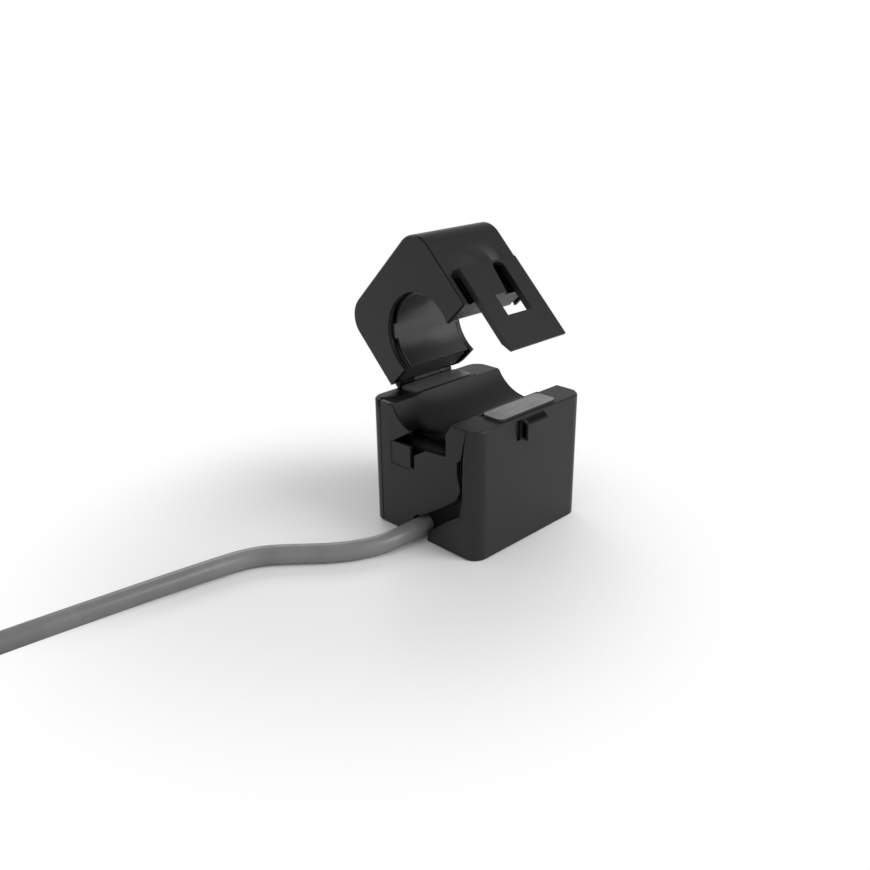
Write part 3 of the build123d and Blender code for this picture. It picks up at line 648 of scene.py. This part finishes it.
def backdrop():
    """A white surround that lights the object from low down more than from overhead."""
    world = bpy.data.worlds.new("studio")
    world.use_nodes = True
    bpy.context.scene.world = world
    tree = world.node_tree
    surround = tree.nodes["Background"]
    surround.inputs["Color"].default_value = grey(1.0)
    way = tree.nodes.new("ShaderNodeTexCoord").outputs["Generated"]
    height = place(tree, "ShaderNodeSeparateXYZ", Vector=way).outputs[2]
    light = between(tree, height, 0.0, OVERHEAD_FROM, HORIZON_LEVEL, OVERHEAD_LEVEL)
    strength = between(tree, seen_directly(tree), 0.0, 1.0, light, 1.0)
    tree.links.new(strength, surround.inputs["Strength"])


def floor():
    """A pale floor that keeps the object's shadow and fades to white away from it."""
    mesh = bpy.data.meshes.new("studio_floor")
    half = FLOOR_SIZE / 2
    corners = [(-half, -half, 0), (half, -half, 0), (half, half, 0), (-half, half, 0)]
    mesh.from_pydata(corners, [], [(0, 1, 2, 3)])
    plane = added("studio_floor", mesh)
    material, tree, shader = blank("pale_floor")
    shader.inputs["Base Color"].default_value = FLOOR_GREY
    shader.inputs["Roughness"].default_value = FLOOR_ROUGHNESS
    shader.inputs["Specular IOR Level"].default_value = FLOOR_GLOSS
    away = vectors(tree, "DISTANCE", spot_on_piece(tree), FLOOR_MIDDLE)["Value"]
    far = between(tree, away, FLOOR_PLAIN, FLOOR_WHITE)
    white = place(tree, "ShaderNodeEmission", Color=grey(1.0), Strength=1.0).outputs[0]
    share = maths(tree, "MULTIPLY", far, seen_directly(tree))
    blend = tree.nodes.new("ShaderNodeMixShader")
    tree.links.new(share, blend.inputs[0])
    tree.links.new(shader.outputs[0], blend.inputs[1])
    tree.links.new(white, blend.inputs[2])
    tree.links.new(blend.outputs[0], tree.nodes["Material Output"].inputs["Surface"])
    mesh.materials.append(material)


# The swell over the latch tongue. Its sizes are those of the closed lid, in millimetres.

LID_OPEN = radians(45.0)
HINGE = Vector((-13.9, 0.0, 25.0)) * MM
LEDGE_FOOT, LEDGE_TOP = Vector((15.0, 0.0, 30.6)) * MM, Vector((13.3, 0.0, 31.2)) * MM
SWELL_LOW, SWELL_HIGH = 30.3, 36.9
SWELL_LEFT, SWELL_FULL_FROM, SWELL_FULL_TO, SWELL_RIGHT = -7.0, -0.8, 0.4, 5.6
SWELL_FAN = 0.6
SWELL_UNDER = 0.02
SWELL_CURVE, SWELL_STEPS = 1.7, 48


def opened(point):
    """A point of the closed lid, where it lies with the lid open."""
    return HINGE + Matrix.Rotation(-LID_OPEN, 3, "Y") @ (point - HINGE)


def eased(value, low, high):
    """0 at low and before it, 1 at high and past it, and a smooth change between them."""
    share = min(max((value - low) / (high - low), 0.0), 1.0)
    return share * share * (3 - 2 * share)


def swell_depth(y, z):
    """How far the swell stands out from just under the lid's wall, in millimetres."""
    up = (z - SWELL_LOW) / (SWELL_HIGH - SWELL_LOW)
    left = eased(y, SWELL_LEFT - SWELL_FAN * up, SWELL_FULL_FROM)
    right = eased(y, SWELL_RIGHT + SWELL_FAN * up, SWELL_FULL_TO)
    deepest = (LEDGE_FOOT.x - LEDGE_TOP.x) / MM + SWELL_UNDER
    return deepest * left * right * max(sin((1 - up) * pi / 2), 0.0) ** SWELL_CURVE


def tongue_swell():
    """The smooth swell that runs the lid's wall into the tongue and dies away beside the slot."""
    left, right = SWELL_LEFT - SWELL_FAN, SWELL_RIGHT + SWELL_FAN
    width = SWELL_STEPS + 1
    points, faces = [], []
    for row in range(width):
        z = SWELL_LOW + (SWELL_HIGH - SWELL_LOW) * row / SWELL_STEPS
        for column in range(width):
            y = left + (right - left) * column / SWELL_STEPS
            x = LEDGE_TOP.x / MM - SWELL_UNDER + swell_depth(y, z)
            points.append(opened(Vector((x, y, z)) * MM))
    for row in range(SWELL_STEPS):
        for column in range(SWELL_STEPS):
            first = row * width + column
            faces.append((first, first + 1, first + width + 1, first + width))
    mesh = bpy.data.meshes.new("tongue_swell")
    mesh.from_pydata(points, [], faces)
    mesh.shade_smooth()
    mesh.materials.append(FINISH["housing_black"])
    swell = added("tongue_swell", mesh)
    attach(swell, "lid")


# Pieces with the part's own form

# Those whose edges are rounded: the body, the slot, the finish and the edges' radius in millimetres
DRESSED = {
    "base_housing": ("base", "housing_black", "base_black", 0.12),
    "front_cover": ("base", "cover_black", "cover_black", 0.04),
    "base_plate": ("base", "housing_black", "housing_black", 0.08),
    "lid_housing": ("lid", "housing_black", "lid_black", 0.12),
    "lid_liner": ("lid", "liner_black", "liner_black", 0.06),
    "latch_tongue": ("lid", "housing_black", "housing_black", 0.1),
    "lower_core": ("base", "core_metal", "core_metal", 0.02),
    "upper_core": ("lid", "core_metal", "core_metal", 0.02),
}

# Those that stay as the part has them: the slot, whose finish they take
PLAIN = {
    "bobbin": "bobbin_nylon",
    "secondary_winding": "copper_winding",
    "winding_tape": "black_tape",
    "terminal_pins": "tinned_metal",
    "circuit_board": "board_green",
    "burden_resistor": "resistor_body",
    "protection_diode": "diode_body",
    "core_pad": "foam_pad",
    "cable_clamp": "cover_black",
    "inner_wire_white": "wire_white",
    "inner_wire_black": "wire_black",
    "hinge_pin": "pin_steel",
    "core_spring": "spring_steel",
    "coil_tie": "tie_black",
    "end_wire_white": "wire_white",
    "end_wire_black": "wire_black",
    "tinned_tips": "tinned_metal",
}

# Points nearer than MERGE become one, faces that turn by less than FLAT become one, and edges that
# turn by more than SHARP are rounded. The edges of the cover's left seam, which lie at these places
# across the front in millimetres, stay crisp.
MERGE = 1e-7
FLAT = radians(0.6)
SHARP = radians(28)
COVER_SEAM = (-10.6, -10.3)
EDGE_STEPS = 2
FLAT_FACE_WEIGHT = 100


def plain_ledge(form):
    """Takes the plain swell off the tongue, down to its sloped ledge."""
    foot, top = opened(LEDGE_FOOT), opened(LEDGE_TOP)
    outward = (foot - top).cross(Vector((0.0, 1.0, 0.0)))
    if outward.z < 0:
        outward.negate()
    plane = {"plane_co": top, "plane_no": outward, "clear_outer": True}
    everything = form.verts[:] + form.edges[:] + form.faces[:]
    cut = bmesh.ops.bisect_plane(form, geom=everything, dist=MERGE, **plane)
    rim = [piece for piece in cut["geom_cut"] if isinstance(piece, bmesh.types.BMEdge)]
    bmesh.ops.holes_fill(form, edges=rim)


def weigh_edges(form):
    """Marks the edges to round: the sharp ones, apart from those of the cover's left seam."""
    weights = form.edges.layers.float.new("bevel_weight_edge")
    for line in form.edges:
        in_seam = all(COVER_SEAM[0] < end.co.x / MM < COVER_SEAM[1] for end in line.verts)
        sharp = len(line.link_faces) == 2 and line.calc_face_angle() > SHARP
        line[weights] = float(sharp and not in_seam)


def merged(name):
    """A copy of a solid's mesh, with whole flat faces and its edges marked."""
    mesh = cad[name].data.copy()
    form = bmesh.new()
    form.from_mesh(mesh)
    bmesh.ops.remove_doubles(form, verts=form.verts, dist=MERGE)
    if name == "latch_tongue":
        plain_ledge(form)
    bmesh.ops.dissolve_limit(form, angle_limit=FLAT, verts=form.verts, edges=form.edges)
    weigh_edges(form)
    form.to_mesh(mesh)
    form.free()
    mesh.shade_smooth()
    return mesh


def rounded(raw, radius):
    """The plain mesh of an object with its marked edges rounded and its flat faces kept flat."""
    bevel = raw.modifiers.new("round", "BEVEL")
    bevel.width = radius
    bevel.segments = EDGE_STEPS
    bevel.limit_method = "WEIGHT"
    weigh = raw.modifiers.new("flat_faces_stay_flat", "WEIGHTED_NORMAL")
    weigh.weight = FLAT_FACE_WEIGHT
    weigh.keep_sharp = True
    settled = raw.evaluated_get(bpy.context.evaluated_depsgraph_get())
    return bpy.data.meshes.new_from_object(settled)


def dressed(name, body, finish, edge):
    """The piece's own form, with rounded edges, in place of the plain solid."""
    mesh = merged(name)
    mesh.materials.clear()
    mesh.materials.append(FINISH[finish])
    raw = added(name + "_raw", mesh)
    piece = added(name + "_finished", rounded(raw, edge * MM))
    bpy.data.objects.remove(raw)
    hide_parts(name)
    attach(piece, body)


# The scene

photo_camera()
lead()
floor()
backdrop()
for name, (spot, size, power) in LAMPS.items():
    softbox(name, spot, size, power)
for name, (body, slot, finish, edge) in DRESSED.items():
    dressed(name, body, finish, edge)
tongue_swell()
for name, slot in PLAIN.items():
    cad[name].data.materials.clear()
    cad[name].data.materials.append(FINISH[slot])

bpy.context.scene.view_settings.view_transform = "Standard"
